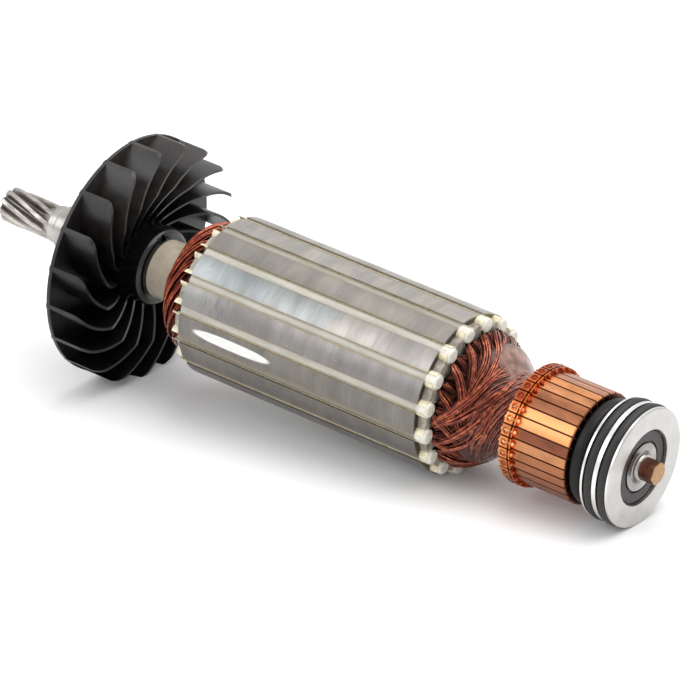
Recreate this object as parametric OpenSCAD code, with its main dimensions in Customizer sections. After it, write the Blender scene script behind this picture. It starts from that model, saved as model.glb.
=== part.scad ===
// Armature of a universal motor for a large hand-held cutter.
// The shaft runs along X: helical pinion at the low end, commutator and rear bearing at the high end.
// X = 0 is the front face of the rear bearing's carrier, and Z is up.

/* [Rear bearing] */
// Wall left in the bearing carrier under the O-rings
carrier_wall = 1.9; // [1.2:0.1:3]
// Width of the bearing carrier
carrier_w = 10.9; // [10.5:0.1:12]
// Thickness of the lip that covers the outer ring
carrier_lip_t = 1; // [0.8:0.1:1.4]
// Diameter of the opening in the lip
carrier_lip_d = 25.5; // [24.5:0.1:27]
// Cord diameter of the two O-rings
o_ring_cord = 3.5; // [3:0.1:3.7]
// Height by which the O-rings stand proud of the carrier
o_ring_proud = 0.4; // [0.2:0.05:0.7]
// Width of the front land of the carrier
carrier_front_land = 1.1; // [0.9:0.1:1.6]
// Width of the land between the O-rings
carrier_mid_land = 1.5; // [1.2:0.1:2]
// Outer diameter of the ball bearing
bearing_d = 30; // [29.6:0.1:30.4]
// Bore diameter of the ball bearing
bearing_bore = 10; // [9.6:0.1:10.4]
// Width of the ball bearing
bearing_w = 9; // [8.8:0.1:9.6]
// Diameter of the bearing balls
ball_d = 4.762; // [4.6:0.05:4.9]
// Number of bearing balls
balls = 8; // [7:1:9]
// Width of the cage's solid back, from the balls' centres
cage_back = 2.9; // [2.6:0.1:3.1]

/* [Commutator] */
// Diameter of the brush track
track_d = 37.6; // [36.5:0.1:38.5]
// Length of the brush track
track_len = 20; // [17:0.5:23]
// Height of the riser over the brush track
riser_step = 1.4; // [1.2:0.05:2]
// Width of the riser
riser_w = 4.6; // [4:0.1:5.5]
// Number of commutator bars
bars = 32; // [32:16:48]
// Gap between two bars
bar_gap = 0.45; // [0.4:0.05:0.8]
// Depth of a bar from the brush track down
bar_depth = 5.2; // [4.5:0.1:5.8]
// Depth of the mica below the brush track
mica_undercut = 0.8; // [0.4:0.1:1.2]
// Diameter of the wire in the riser
lead_wire_d = 1; // [0.8:0.05:1.1]
// Thickness of the rubber disc beside the commutator
disc_t = 5; // [4:0.1:5.6]
// Diameter of the rubber disc
disc_d = 35.2; // [33:0.2:36.4]
// Distance from the rubber disc to the carrier
disc_gap = 1.5; // [1:0.1:2.5]

/* [Core] */
// Diameter of the laminated core
core_d = 54.4; // [53.4:0.2:56]
// Length of the laminated core
core_len = 94.7; // [70:0.5:110]
// Number of slots
slots = 16; // [14:2:16]
// Diameter of the round head of a slot
slot_head_d = 5.7; // [5:0.1:6]
// Diameter of the round root of a slot
slot_root_d = 2.4; // [1.8:0.1:2.8]
// Radius of the root circle's centres
slot_root_r = 15.6; // [15:0.1:17]
// Width of a slot's mouth
slot_mouth = 3; // [2.4:0.1:3.4]
// Steel left above the round head of a slot
slot_roof = 0.15; // [0.1:0.05:0.4]
// Thickness of the slot liner
liner_t = 0.25; // [0.15:0.05:0.35]
// Thickness of each end spider
spider_t = 3; // [2:0.1:3.6]
// Height by which the core stands over the spiders
spider_step = 2.3; // [1:0.1:3]
// Length by which the slot rods stand out of the core
rod_out = 4; // [3:0.1:5]
// Depth of the rods' ends inside the core at the pinion end
rod_inset = 0; // [0:0.5:4]
// Length by which the slot liners stand out of the core
liner_out = 3.2; // [3:0.1:4]
// Length of the balancing cut
balance_len = 32; // [20:1:40]
// Width of the balancing cut
balance_w = 4.4; // [2:0.1:5]
// Distance from the core's end to the balancing cut
balance_from_end = 5.6; // [3:0.2:30]

/* [Winding] */
// Length of the overhang between core and riser
rear_overhang = 27.5; // [26:0.5:32]
// Length of the wound part of that overhang, up to the bound leads
wound_len = 13.9; // [12:0.1:16]
// Length of the overhang at the pinion end
front_overhang = 13.8; // [12.5:0.1:15.5]
// Diameter of the neck below the commutator's leads
neck_d = 26.6; // [25:0.2:29]
// Thickness of a wire bundle
bundle_t = 3.4; // [2.8:0.1:4]

/* [Shaft] */
// Diameter of the shaft inside its insulating sleeve
shaft_d = 16; // [15:0.2:17]
// Outer diameter of the insulating sleeve
sleeve_d = 20.1; // [19.4:0.1:21.5]
// Diameter of the seat for the drive-end bearing
journal_d = 15; // [14:0.5:16]
// Length of the seat for the drive-end bearing
journal_len = 12; // [10:0.5:14]
// Tip diameter of the pinion
pinion_d = 12.2; // [11.6:0.1:13]
// Root diameter of the pinion
pinion_root_d = 8.4; // [7.6:0.1:9]
// Length of the pinion's teeth
pinion_len = 21.4; // [17:0.2:25]
// Number of pinion teeth
pinion_teeth_n = 9; // [7:1:11]
// Turn of the helical teeth in degrees for each millimetre
pinion_helix = 2.9; // [2:0.1:3.5]
// Width across the flats of the hexagonal end stub
stub_af = 7; // [6.4:0.1:7.6]
// Length of the end stub outside the carrier
stub_out = 5.4; // [4:0.1:7]
// Height by which the shaft stands out of its bearing
shaft_out = 1.2; // [0.4:0.1:2]

/* [Fan] */
// Diameter of the fan
fan_d = 82.4; // [78:0.2:86]
// Width of the fan over its blades
fan_w = 14.4; // [12:0.2:17]
// Thickness of the fan's disc
fan_disc_t = 1.6; // [1.2:0.1:2.4]
// Number of blades
blades = 19; // [15:2:21]
// Thickness of a blade
blade_t = 0.95; // [0.8:0.05:1.6]
// Diameter at which the blades' free edges start to fall toward the hub
blade_kink_d = 54.8; // [48:0.4:60]
// Height by which the blades fall to the hub
blade_fall = 6; // [4:0.2:8]
// Radius of the blades' outer corner
blade_corner_r = 3; // [2:0.1:4]
// Sweep of a blade in degrees from its tip to the kink
blade_sweep_tip = 25; // [18:0.5:30]
// Sweep of a blade in degrees from its tip to the hub
blade_sweep_hub = 45.5; // [38:0.5:52]
// Diameter of the fan's hub
hub_d = 27; // [25:0.2:30]
// Diameter of the collar in front of the hub
collar_d = 26.8; // [24.6:0.2:28]
// Length by which the collar stands out in front of the blades
collar_out = 2.4; // [0.4:0.2:4]
// Radius of the collar's rounded lip
lip_r = 2.4; // [1.2:0.1:2.6]
// Distance from the collar's lip to the core
fan_to_core = 27.1; // [25.5:0.1:32]

/* [Hidden] */
$fn = 96;

// Places along the shaft, from the carrier's front face down to the pinion's end
carrier_back = -carrier_w;
bearing_front = -carrier_lip_t;
bearing_back = bearing_front - bearing_w;
shaft_end = bearing_front + shaft_out;
disc_front = carrier_back - disc_gap;
bars_front = disc_front - disc_t;
riser_front = bars_front - track_len;
riser_back = riser_front - riser_w;
core_front = riser_back - rear_overhang;
core_back = core_front - core_len;
collar_front = core_back - fan_to_core;
blade_front = collar_front - collar_out;
fan_back = blade_front - fan_w;
shoulder_front = fan_back - 1.5;
journal_front = shoulder_front - 11.6;
journal_back = journal_front - journal_len;
neck_back = journal_back - 3.4;
pinion_front = neck_back;
pinion_back = pinion_front - pinion_len;

// Directions measured round the shaft from +Y toward +Z
slot_phase = 13.2;
bar_phase = 1.25;
blade_phase = 16.8;
pinion_phase = 68;
balance_angle = slot_phase + 360 / slots * 7.5;
balance_cutter_r = 25;

// Fits
press = 0;
running = 0.03;
clear = 0.1;
stub_spigot_d = stub_af - 1;
stub_spigot_len = 6;
centre_hole_d = 3.2;

// Carrier radii
carrier_r = bearing_d / 2 + carrier_wall + o_ring_cord - o_ring_proud;

// Bearing radii
pitch_r = (bearing_d + bearing_bore) / 4;
ball_r = ball_d / 2;
groove_r = ball_r * 1.03;
inner_land_r = pitch_r - 1.5;
outer_land_r = pitch_r + 1.6;
seal_seat_r = pitch_r + 2.7;
seal_lip_r = inner_land_r - 0.5;
bearing_mid = (bearing_front + bearing_back) / 2;

// Slot radii
core_r = core_d / 2;
slot_head_r = slot_head_d / 2;
slot_head_at = core_r - slot_roof - slot_head_r;
rod_r = slot_head_r - liner_t - clear / 2;
spider_r = core_r - spider_step;
sleeve_r = sleeve_d / 2;
shaft_r = shaft_d / 2;

// Commutator radii
track_r = track_d / 2;
riser_r = track_r + riser_step;
bar_root_r = track_r - bar_depth;
bush_r = shaft_r + 1.2;

// Puts a model drawn round the Z axis onto the shaft, with its polar angle counted from +Y to +Z
module along_shaft() {
    rotate([90, 0, 90]) children();
}

// Repeats a child evenly round the shaft
module round_row(count, phase = 0) {
    for (i = [0 : count - 1]) rotate(phase + i * 360 / count) children();
}

// Plain tube between two places along the shaft
module tube(outer_r, inner_r, low, high) {
    translate([0, 0, low]) difference() {
        cylinder(r = outer_r, h = high - low);
        translate([0, 0, -1]) cylinder(r = inner_r, h = high - low + 2);
    }
}

// Turned body from an outline of radius and place along the shaft
module turned(outline) {
    rotate_extrude() polygon(outline);
}

function polar(r, a) = [r * cos(a), r * sin(a)];

// Rear bearing

o_ring_r = carrier_r + o_ring_proud - o_ring_cord / 2;
groove_floor_r = carrier_r + o_ring_proud - o_ring_cord;
groove_w = o_ring_cord + clear;
front_groove_mid = -carrier_front_land - groove_w / 2;
rear_groove_mid = front_groove_mid - groove_w - carrier_mid_land;
carrier_chamfer = 0.35;

module bearing_carrier() {
    color("gainsboro") along_shaft() difference() {
        turned([
            [bearing_d / 2, carrier_back],
            [carrier_r - carrier_chamfer, carrier_back],
            [carrier_r, carrier_back + carrier_chamfer],
            [carrier_r, -carrier_chamfer],
            [carrier_r - carrier_chamfer, 0],
            [carrier_lip_d / 2 + 0.2, 0],
            [carrier_lip_d / 2, -0.2],
            [carrier_lip_d / 2, bearing_front],
            [bearing_d / 2, bearing_front]
        ]);
        for (mid = [front_groove_mid, rear_groove_mid])
            tube(carrier_r + 1, groove_floor_r, mid - groove_w / 2, mid + groove_w / 2);
    }
}

module o_ring(mid) {
    color("#2b2a29") along_shaft() translate([0, 0, mid])
        rotate_extrude() translate([o_ring_r, 0]) circle(d = o_ring_cord, $fn = 48);
}

module o_ring_front() {
    o_ring(front_groove_mid);
}

module o_ring_rear() {
    o_ring(rear_groove_mid);
}

module ball_groove() {
    translate([0, 0, bearing_mid]) rotate_extrude() translate([pitch_r, 0]) circle(r = groove_r);
}

module bearing_outer_ring() {
    seat_w = 1.5;
    color("silver") along_shaft() difference() {
        tube(bearing_d / 2, outer_land_r, bearing_back, bearing_front);
        ball_groove();
        tube(seal_seat_r, outer_land_r - 1, bearing_front - seat_w, bearing_front + 1);
        tube(seal_seat_r, outer_land_r - 1, bearing_back - 1, bearing_back + seat_w);
    }
}

module bearing_inner_ring() {
    chamfer = 0.6;
    color("silver") along_shaft() difference() {
        turned([
            [bearing_bore / 2 + chamfer, bearing_back],
            [seal_lip_r, bearing_back],
            [seal_lip_r, bearing_back + 1.4],
            [inner_land_r, bearing_back + 1.4],
            [inner_land_r, bearing_front - 1.4],
            [seal_lip_r, bearing_front - 1.4],
            [seal_lip_r, bearing_front],
            [bearing_bore / 2 + chamfer, bearing_front],
            [bearing_bore / 2, bearing_front - chamfer],
            [bearing_bore / 2, bearing_back + chamfer]
        ]);
        ball_groove();
    }
}

// A seal plate sits in the outer ring's recess and its lip runs on the inner ring.
// Its flat stands forward of a groove at its edge and of the lip.
module bearing_seal(face, inward) {
    inner_r = seal_lip_r + 0.06;
    flat = face + inward * 0.1;
    step = face + inward * 0.75;
    back = face + inward * 1.3;
    color("#3f3b39") along_shaft() turned([
        [inner_r, step],
        [inner_r + 0.5, step],
        [inner_r + 0.75, flat],
        [seal_seat_r - 0.75, flat],
        [seal_seat_r - 0.5, step],
        [seal_seat_r, step],
        [seal_seat_r, back],
        [inner_r, back]
    ]);
}

module bearing_seal_front() {
    bearing_seal(bearing_front, -1);
}

module bearing_seal_rear() {
    bearing_seal(bearing_back, 1);
}

module bearing_balls() {
    color("lightgray") along_shaft() round_row(balls)
        translate([pitch_r, 0, bearing_mid]) sphere(r = ball_r);
}

// Crown cage that snaps over the balls from the rear
module bearing_cage() {
    color("#c9b98c") along_shaft() difference() {
        tube(pitch_r + 0.9, pitch_r - 0.8, bearing_mid - cage_back, bearing_mid + ball_r * 0.42);
        round_row(balls) translate([pitch_r, 0, bearing_mid]) sphere(r = ball_r + running);
    }
}

// Shaft with its pinion

// Half a tooth's outline on each side: share of the pitch and of the tooth's height
tooth_shape = [
    [-0.4, 0], [-0.29, 0.3], [-0.19, 0.85], [-0.14, 1],
    [0.14, 1], [0.19, 0.85], [0.29, 0.3], [0.4, 0]
];

module pinion_teeth() {
    tip_r = pinion_d / 2;
    root_r = pinion_root_d / 2;
    nose = 1;
    intersection() {
        translate([0, 0, pinion_back]) rotate(pinion_phase - pinion_helix)
            linear_extrude(height = pinion_len, twist = -pinion_helix * pinion_len, slices = 22)
                polygon([
                    for (i = [0 : pinion_teeth_n - 1], p = tooth_shape)
                        polar(root_r + (tip_r - root_r) * p[1], (i + p[0]) * 360 / pinion_teeth_n)
                ]);
        turned([
            [0, pinion_back],
            [tip_r - nose, pinion_back],
            [tip_r - nose * 0.3, pinion_back + nose * 0.4],
            [tip_r + 0.1, pinion_back + nose * 1.2],
            [tip_r + 0.1, pinion_front],
            [0, pinion_front]
        ]);
    }
}

module shaft() {
    tip_r = pinion_d / 2;
    root_r = pinion_root_d / 2;
    neck_r = tip_r + 0.35;
    journal_r = journal_d / 2;
    seat_r = bearing_bore / 2;
    runout = 5.2;
    end_round = 0.8;
    end_r = seat_r - 0.4;
    color("#b8b4ae") along_shaft() difference() {
        union() {
            turned([
                [0, pinion_front - runout],
                [root_r - 0.1, pinion_front - runout],
                [tip_r - 0.8, pinion_front - runout * 0.4],
                [tip_r, pinion_front - 0.4],
                [neck_r, pinion_front],
                [neck_r, journal_back - 1],
                [journal_r - 0.5, journal_back - 0.5],
                [journal_r, journal_back],
                [journal_r, journal_front],
                [sleeve_r - 0.5, journal_front],
                [sleeve_r, journal_front + 0.5],
                [sleeve_r, shoulder_front],
                [shaft_r, shoulder_front],
                [shaft_r, disc_front + 1],
                [seat_r + 2, disc_front + 1],
                [seat_r + 2, bearing_back],
                [seat_r, bearing_back],
                [seat_r, bearing_front - 0.7],
                [end_r, bearing_front - 0.3],
                [end_r, shaft_end - end_round],
                [end_r - end_round * 0.3, shaft_end - end_round * 0.3],
                [end_r - end_round, shaft_end],
                [0, shaft_end]
            ]);
            pinion_teeth();
        }
        // Bore for the stub's spigot
        translate([0, 0, shaft_end - stub_spigot_len])
            cylinder(d = stub_spigot_d + 2 * press, h = stub_spigot_len + 1);
        // Lathe centre in the pinion's end
        turned([
            [0, pinion_back - 1],
            [centre_hole_d / 2 + 0.58, pinion_back - 1],
            [centre_hole_d / 2, pinion_back],
            [0, pinion_back + centre_hole_d * 0.87]
        ]);
    }
}

module end_stub() {
    hex_r = stub_af / 2 / cos(30);
    corner_r = hex_r - 0.25;
    chamfer = 0.3;
    base = shaft_end;
    color("#8a5a3c") along_shaft() union() {
        translate([0, 0, base - stub_spigot_len + clear])
            cylinder(d = stub_spigot_d, h = stub_spigot_len);
        rotate(10) intersection() {
            translate([0, 0, base]) cylinder(r = hex_r, h = stub_out - base, $fn = 6);
            turned([
                [0, base],
                [corner_r, base],
                [corner_r, stub_out - chamfer],
                [corner_r - chamfer, stub_out],
                [0, stub_out]
            ]);
        }
    }
}

module shaft_sleeve() {
    color("#c6c0b2") along_shaft()
        tube(sleeve_r, shaft_r + press, shoulder_front, riser_back);
}

// Fan

fan_r = fan_d / 2;
hub_r = hub_d / 2;
collar_r = collar_d / 2;
blade_kink_r = blade_kink_d / 2;

// Circle through three points, as centre x, centre y and radius
function circle_through(a, b, c) =
    let (
        aa = a * a,
        bb = b * b,
        cc = c * c,
        d = 2 * (a.x * (b.y - c.y) + b.x * (c.y - a.y) + c.x * (a.y - b.y)),
        x = (aa * (b.y - c.y) + bb * (c.y - a.y) + cc * (a.y - b.y)) / d,
        y = (aa * (c.x - b.x) + bb * (a.x - c.x) + cc * (b.x - a.x)) / d
    )
    [x, y, norm(a - [x, y])];

// Strip of the blade's thickness along the arc through three points
module blade_arc(a, b, c) {
    arc = circle_through(a, b, c);
    centre = [arc.x, arc.y];
    intersection() {
        translate(centre) difference() {
            circle(r = arc.z + blade_t / 2, $fn = 192);
            circle(r = arc.z - blade_t / 2, $fn = 192);
        }
        polygon([centre, centre + 2 * (a - centre), centre + 3 * (b - centre), centre + 2 * (c - centre)]);
    }
}

// Plan of one blade: one arc from beyond its tip to the kink, and one from there into the hub.
// Each arc's middle keeps the sweep even along the radius.
module blade_plan() {
    rate_out = blade_sweep_tip / (fan_r - blade_kink_r);
    rate_in = (blade_sweep_hub - blade_sweep_tip) / (blade_kink_r - hub_r);
    over = 1;
    kink = polar(blade_kink_r, blade_sweep_tip);
    blade_arc(
        polar(fan_r + over, -rate_out * over),
        polar((fan_r + blade_kink_r) / 2, blade_sweep_tip / 2),
        kink
    );
    blade_arc(
        kink,
        polar((blade_kink_r + hub_r) / 2, (blade_sweep_tip + blade_sweep_hub) / 2),
        polar(hub_r - over, blade_sweep_hub + rate_in * over)
    );
    translate(kink) circle(d = blade_t, $fn = 24);
}

// Space that the blades may fill: it sets their free edge, their rounded corner and the fan's rim
module blade_envelope() {
    rotate_extrude() {
        polygon([
            [sleeve_r + 1, fan_back],
            [fan_r, fan_back],
            [fan_r, blade_front - blade_corner_r],
            [fan_r - blade_corner_r, blade_front],
            [blade_kink_r, blade_front],
            [hub_r, blade_front - blade_fall],
            [sleeve_r + 1, blade_front - blade_fall]
        ]);
        translate([fan_r - blade_corner_r, blade_front - blade_corner_r])
            circle(r = blade_corner_r, $fn = 48);
    }
}

module fan() {
    foot = 2.5;
    pocket_at = 103;
    pocket_w = 3.4;
    disc_front_face = fan_back + fan_disc_t;
    color("#1c1b1b") along_shaft() difference() {
        union() {
            rotate_extrude() {
                // Disc with a rounded rim and the hub's foot
                polygon([
                    [sleeve_r, fan_back],
                    [fan_r - 0.4, fan_back],
                    [fan_r, fan_back + 0.4],
                    [fan_r, disc_front_face],
                    [hub_r + foot, disc_front_face],
                    [hub_r + 0.7, disc_front_face + 0.7],
                    [hub_r, disc_front_face + foot],
                    [hub_r, blade_front - blade_fall],
                    [collar_r, blade_front - blade_fall + 0.6],
                    [collar_r, collar_front - lip_r],
                    [collar_r - lip_r, collar_front],
                    [sleeve_r, collar_front]
                ]);
                // Rounded lip of the collar
                translate([collar_r - lip_r, collar_front - lip_r]) circle(r = lip_r, $fn = 48);
                // Boss and stiffening ring on the pinion side
                polygon([
                    [sleeve_r, fan_back - 1.2],
                    [hub_r - 1, fan_back - 1.2],
                    [hub_r, fan_back],
                    [sleeve_r, fan_back]
                ]);
            }
            intersection() {
                translate([0, 0, fan_back + 0.1]) linear_extrude(height = fan_w)
                    round_row(blades, blade_phase) blade_plan();
                blade_envelope();
            }
        }
        // Moulding pocket in the collar's lip
        rotate(pocket_at) translate([sleeve_r + 0.6, -pocket_w / 2, collar_front - 1])
            cube([collar_r - sleeve_r - 1.2, pocket_w, 2]);
    }
}

// Core

// Slot outline drawn toward +X, shrunk all round by inset
module slot_outline(inset = 0) {
    head = slot_head_r - inset;
    root = slot_root_d / 2 - inset;
    translate([slot_head_at, 0]) circle(r = head, $fn = 48);
    translate([slot_root_r, 0]) circle(r = root, $fn = 48);
    polygon([
        [slot_root_r, -root],
        [slot_head_at, -head],
        [slot_head_at, head],
        [slot_root_r, root]
    ]);
}

module slot_opening(w) {
    translate([slot_head_at, -w / 2]) square([core_r, w]);
}

module lamination(outer_r, mouth) {
    difference() {
        circle(r = outer_r, $fn = 192);
        circle(r = sleeve_r + press);
        round_row(slots, slot_phase) {
            slot_outline();
            slot_opening(mouth);
        }
    }
}

// Turned milling tool whose outline gives the balancing cut its long, pointed shape
module balance_cutter() {
    depth = pow(balance_w, 2) / 8 * (1 / core_r + 1 / balance_cutter_r);
    steps = 12;
    function reach(i) = balance_cutter_r - depth * pow(2 * i / steps - 1, 2);
    rotate(balance_angle) translate([core_r + balance_cutter_r - depth, 0, core_back + balance_from_end])
        turned([
            [0, 0],
            for (i = [0 : steps]) [reach(i), balance_len * i / steps],
            [0, balance_len]
        ]);
}

module core_laminations() {
    color("#a9aaac") along_shaft() difference() {
        translate([0, 0, core_back]) linear_extrude(height = core_len) lamination(core_r, slot_mouth);
        balance_cutter();
    }
}

// The spiders' slots stay open up to the full width of the slot's head
module spider(low) {
    color("#8b8a80") along_shaft() translate([0, 0, low])
        linear_extrude(height = spider_t) lamination(spider_r, slot_head_d);
}

module spider_drive_end() {
    spider(core_back - spider_t);
}

module spider_commutator_end() {
    spider(core_front);
}

module slot_liners() {
    low = core_back - liner_out;
    high = core_front + spider_t;
    color("#ded7c0") along_shaft() translate([0, 0, low]) linear_extrude(height = high - low)
        round_row(slots, slot_phase) difference() {
            slot_outline();
            slot_outline(liner_t);
            slot_opening(slot_mouth);
        }
}

module slot_rods() {
    low = core_back + rod_inset;
    high = core_front + rod_out;
    round = 0.8;
    color("#e6dfca") along_shaft() round_row(slots, slot_phase) translate([slot_head_at, 0, 0])
        turned([
            [0, low],
            [rod_r, low],
            [rod_r, high - round],
            [rod_r - round * 0.3, high - round * 0.3],
            [rod_r - round, high],
            [0, high]
        ]);
}

leg_back = core_back - spider_t - 0.6;
leg_front = core_front + spider_t + 0.6;

module slot_conductors() {
    color("#9a4a2c") along_shaft() translate([0, 0, leg_back]) linear_extrude(height = leg_front - leg_back)
        round_row(slots, slot_phase) difference() {
            slot_outline(liner_t + clear / 2);
            translate([slot_head_at, 0]) circle(r = rod_r + clear / 2, $fn = 48);
            translate([slot_head_at, -core_r]) square(2 * core_r);
        }
}

// Winding overhangs

// Tube swept along points on the shaft's surface: each row is radius, angle, place, half width and half height
module bundle(rows, sides = 8) {
    n = len(rows);
    centres = [for (q = rows) [q[0] * cos(q[1]), q[0] * sin(q[1]), q[2]]];
    function heading(i) = centres[min(i + 1, n - 1)] - centres[max(i - 1, 0)];
    function unit(v) = v / norm(v);
    function side_of(i) = unit(cross(unit(heading(i)), [cos(rows[i][1]), sin(rows[i][1]), 0]));
    function up_of(i) = cross(side_of(i), unit(heading(i)));
    points = [
        for (i = [0 : n - 1], k = [0 : sides - 1])
            centres[i] + rows[i][3] * cos(360 * k / sides) * side_of(i)
            + rows[i][4] * sin(360 * k / sides) * up_of(i)
    ];
    faces = concat(
        [[for (k = [sides - 1 : -1 : 0]) k]],
        [[for (k = [0 : sides - 1]) (n - 1) * sides + k]],
        [
            for (i = [0 : n - 2], k = [0 : sides - 1])
                [i * sides + k, i * sides + (k + 1) % sides, (i + 1) * sides + (k + 1) % sides]
        ],
        [
            for (i = [0 : n - 2], k = [0 : sides - 1])
                [i * sides + k, (i + 1) * sides + (k + 1) % sides, (i + 1) * sides + k]
        ]
    );
    polyhedron(points = points, faces = faces, convexity = 4);
}

module winding_drive_end() {
    base = leg_back;
    end = core_back - front_overhang;
    depth = base - end;
    outer_r = slot_head_at - slot_head_r + 1.2;
    steps = 9;
    color("#8a3a22") along_shaft() {
        turned([
            [sleeve_r + clear, base],
            [outer_r, base],
            [outer_r + 0.4, base - depth * 0.2],
            [outer_r - 0.6, base - depth * 0.55],
            [outer_r - 2.6, base - depth * 0.85],
            [outer_r - 4.6, end + 0.2],
            [sleeve_r + 2.4, end + 0.2],
            [sleeve_r + clear, end + 1.6]
        ]);
        round_row(slots, slot_phase) bundle([
            for (i = [0 : steps])
                let (s = i / steps)
                [
                    outer_r - 0.6 - 3.8 * s,
                    100 * s,
                    base - 1.6 - (depth - 3) * pow(sin(90 * min(1, s * 1.15)), 0.8),
                    bundle_t * 0.42,
                    bundle_t * 0.36
                ]
        ]);
    }
}

band_back = core_front + wound_len;
neck_r = neck_d / 2;
band_start_r = neck_r + 4.2;

module winding_commutator_end() {
    base = leg_front;
    steps = 9;
    length = band_back - base;
    start_r = slot_head_at - slot_head_r + 0.9;
    color("#8a3a22") along_shaft() {
        turned([
            [sleeve_r + clear, base],
            [start_r - 1, base],
            [start_r - 0.8, base + length * 0.14],
            [start_r - 0.2, base + length * 0.3],
            [start_r - 2.2, base + length * 0.65],
            [start_r - 4.6, band_back],
            [sleeve_r + clear, band_back]
        ]);
        intersection() {
            round_row(slots, slot_phase) bundle([
                for (i = [0 : steps])
                    let (s = i / steps)
                    [
                        start_r - 1.7 + 1.9 * sin(150 * s) - 3.2 * s * s,
                        -78 * s,
                        base + 0.9 + (length + 0.8) * pow(s, 1.15),
                        bundle_t * 0.5,
                        bundle_t * 0.4
                    ]
            ]);
            translate([0, 0, base]) cylinder(r = core_r, h = length);
        }
    }
}

// Closed ring whose skin runs through loops of points, each loop counted round the shaft
module ring_skin(loops) {
    m = len(loops);
    n = len(loops[0]);
    function at(i, k) = (i % m) * n + k % n;
    polyhedron(
        points = [for (loop = loops, p = loop) p],
        faces = concat(
            [for (i = [0 : m - 1], k = [0 : n - 1]) [at(i, k), at(i + 1, k), at(i + 1, k + 1)]],
            [for (i = [0 : m - 1], k = [0 : n - 1]) [at(i, k), at(i + 1, k + 1), at(i, k + 1)]]
        ),
        convexity = 6
    );
}

// Leads bound in resin between the overhang and the riser, with one ridge for each lead
module lead_band() {
    length = riser_back - band_back;
    columns = bars * 4;
    ridge = 0.3;
    bore_r = sleeve_r + clear;
    // Share of the band's length, radius and turn of the leads
    outline = [
        [0, band_start_r, 0],
        [0.2, neck_r + 2.3, -8],
        [0.36, neck_r + 0.8, -15],
        [0.52, neck_r, -22],
        [0.7, neck_r, -30],
        [0.86, neck_r + 1.3, -38],
        [1, track_r - 1.2, -46]
    ];
    function loop(r, turn, z, ridge) = [
        for (k = [0 : columns - 1])
            let (p = polar(r + ridge * cos(90 * k), turn + 360 * k / columns)) [p.x, p.y, z]
    ];
    color("#7d5248") along_shaft() ring_skin(concat(
        [for (q = outline) loop(q[1], q[2], band_back + length * q[0], ridge)],
        [loop(bore_r, 0, riser_back, 0)],
        [loop(bore_r, 0, band_back, 0)]
    ));
}

// Commutator

module bars_plan(outer_r) {
    difference() {
        circle(r = outer_r, $fn = 192);
        circle(r = bar_root_r);
        round_row(bars, bar_phase) translate([bar_root_r - 1, -bar_gap / 2])
            square([outer_r - bar_root_r + 2, bar_gap]);
    }
}

lead_at = track_r + 0.7;
weld_at = riser_back + 2.1;
weld_r = 1;
weld_floor = riser_r - 0.35;

module commutator_bars() {
    chamfer = 0.6;
    groove_w = 0.45;
    groove_mid = riser_front - 0.75;
    color("#c98a5e") along_shaft() difference() {
        union() {
            translate([0, 0, riser_front - 0.01]) linear_extrude(height = track_len + 0.01)
                bars_plan(track_r);
            translate([0, 0, riser_back]) linear_extrude(height = riser_w) bars_plan(riser_r);
        }
        // Turned chamfer at the front of the brush track
        turned([
            [track_r - chamfer, bars_front + 0.01],
            [track_r + 1, bars_front - chamfer - 1],
            [track_r + 1, bars_front + 0.01]
        ]);
        // Chamfer at the back of the riser
        turned([
            [riser_r - 0.5, riser_back - 0.01],
            [riser_r + 0.5, riser_back - 0.01],
            [riser_r + 0.5, riser_back + 1]
        ]);
        // Groove between the weld row and the wire ends
        tube(riser_r + 1, riser_r - 0.6, groove_mid - groove_w / 2, groove_mid + groove_w / 2);
        round_row(bars, bar_phase + 180 / bars) {
            // Hole for the lead and crater of its weld
            translate([lead_at, 0, riser_back - 1])
                cylinder(d = lead_wire_d + 2 * clear, h = riser_w + 2, $fn = 24);
            translate([weld_floor, 0, weld_at]) rotate([0, 90, 0]) cylinder(r = weld_r, h = 2, $fn = 24);
        }
    }
}

module commutator_mica() {
    color("#6d5c44") along_shaft() translate([0, 0, riser_back])
        linear_extrude(height = riser_w + track_len) round_row(bars, bar_phase)
            translate([bar_root_r + 0.2, -bar_gap / 2])
                square([track_r - mica_undercut - bar_root_r - 0.2, bar_gap]);
}

module commutator_moulding() {
    color("#4a3a2c") along_shaft()
        tube(bar_root_r, bush_r, riser_back, bars_front);
}

module commutator_bush() {
    color("#8f8f8f") along_shaft() tube(bush_r, shaft_r, riser_back, bars_front);
}

// Each lead lies in its riser hole, with a weld bead in its crater and a blunt end over the brush track
module riser_leads() {
    wire_r = lead_wire_d / 2;
    end_at = riser_front + 0.35;
    color("#b5562a") along_shaft() round_row(bars, bar_phase + 180 / bars) {
        translate([lead_at, 0, riser_back]) cylinder(r = wire_r, h = end_at - riser_back, $fn = 24);
        translate([lead_at, 0, end_at]) sphere(r = wire_r * 1.3, $fn = 24);
        translate([weld_floor + 0.1, 0, weld_at]) sphere(r = wire_r, $fn = 24);
    }
}

module rubber_disc() {
    edge = 1.9;
    color("#242322") along_shaft() difference() {
        rotate_extrude() {
            square_low = bars_front;
            translate([0, square_low]) square([disc_d / 2 - edge, disc_t]);
            translate([0, square_low + edge]) square([disc_d / 2, disc_t - 2 * edge]);
            translate([disc_d / 2 - edge, square_low + edge]) circle(r = edge, $fn = 48);
            translate([disc_d / 2 - edge, square_low + disc_t - edge]) circle(r = edge, $fn = 48);
        }
        translate([0, 0, bars_front - 1]) cylinder(r = shaft_r, h = disc_t + 2);
    }
}

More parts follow.
